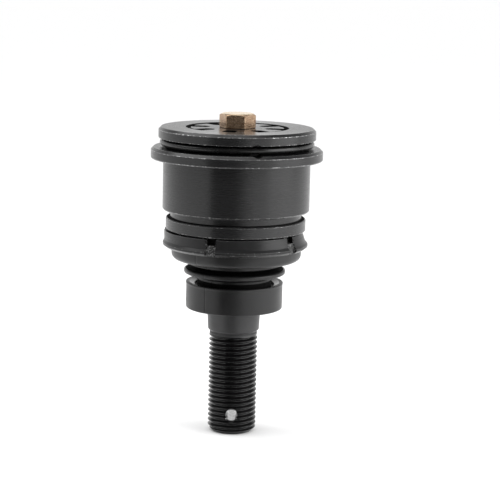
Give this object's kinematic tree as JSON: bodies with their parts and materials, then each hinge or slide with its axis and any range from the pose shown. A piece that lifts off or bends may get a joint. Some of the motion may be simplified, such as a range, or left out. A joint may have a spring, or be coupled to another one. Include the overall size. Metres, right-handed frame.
{
  "type": "suspension ball joint",
  "caption": "Press-in suspension ball joint: flanged steel barrel with a screwed adjuster and grease plug, rubber boot on a slotted ring, and a swinging taper stud with a threaded end.",
  "frame": {"origin": "on the joint's axis at the underside of the flange, where the barrel's press fit begins", "axes": "+Z along the axis towards the grease plug, so the stud points down; +Y away from the viewer along the cotter hole, +X to the right"},
  "size_m": [0.07, 0.07, 0.1324],
  "materials": {
    "black_steel": "turned steel, black oxide",
    "stud_steel": "ground steel, black oxide on the thread",
    "spring_steel": "oiled spring steel",
    "sintered_iron": "oil-soaked sintered iron",
    "brass": "brushed brass",
    "pad_nylon": "moulded nylon",
    "seal_rubber": "smooth, slightly glossy",
    "boot_rubber": "moulded, matte"
  },
  "bodies": {
    "housing": {"housing": "black_steel", "adjuster_plug": "black_steel", "grease_plug": "brass", "lock_screw": "black_steel", "lock_pad": "pad_nylon", "groove_o_ring": "seal_rubber", "disc_spring": "spring_steel", "upper_bearing_cup": "sintered_iron", "lower_bearing_seat": "sintered_iron", "boot_retaining_ring": "black_steel", "boot_shoulder": "boot_rubber"},
    "boot_middle": {"boot_fold": "boot_rubber"},
    "boot_end": {"boot_collar": "boot_rubber"},
    "stud": {"ball_stud": "stud_steel"}
  },
  "joints": [
    {"name": "swing_side", "type": "hinge", "parent": "housing", "child": "boot_middle", "pos_m": [0, 0, -0.015], "axis": [0, 1, 0], "range_deg": [-15, 15], "deforming": ["boot_fold"]},
    {"name": "swing_fore", "type": "hinge", "parent": "boot_middle", "child": "boot_end", "pos_m": [0, 0, -0.015], "axis": [1, 0, 0], "range_deg": [-15, 15], "deforming": ["boot_fold"]},
    {"name": "stud_spin", "type": "hinge", "parent": "boot_end", "child": "stud", "pos_m": [0, 0, -0.015], "axis": [0, 0, 1], "continuous": true}
  ]
}
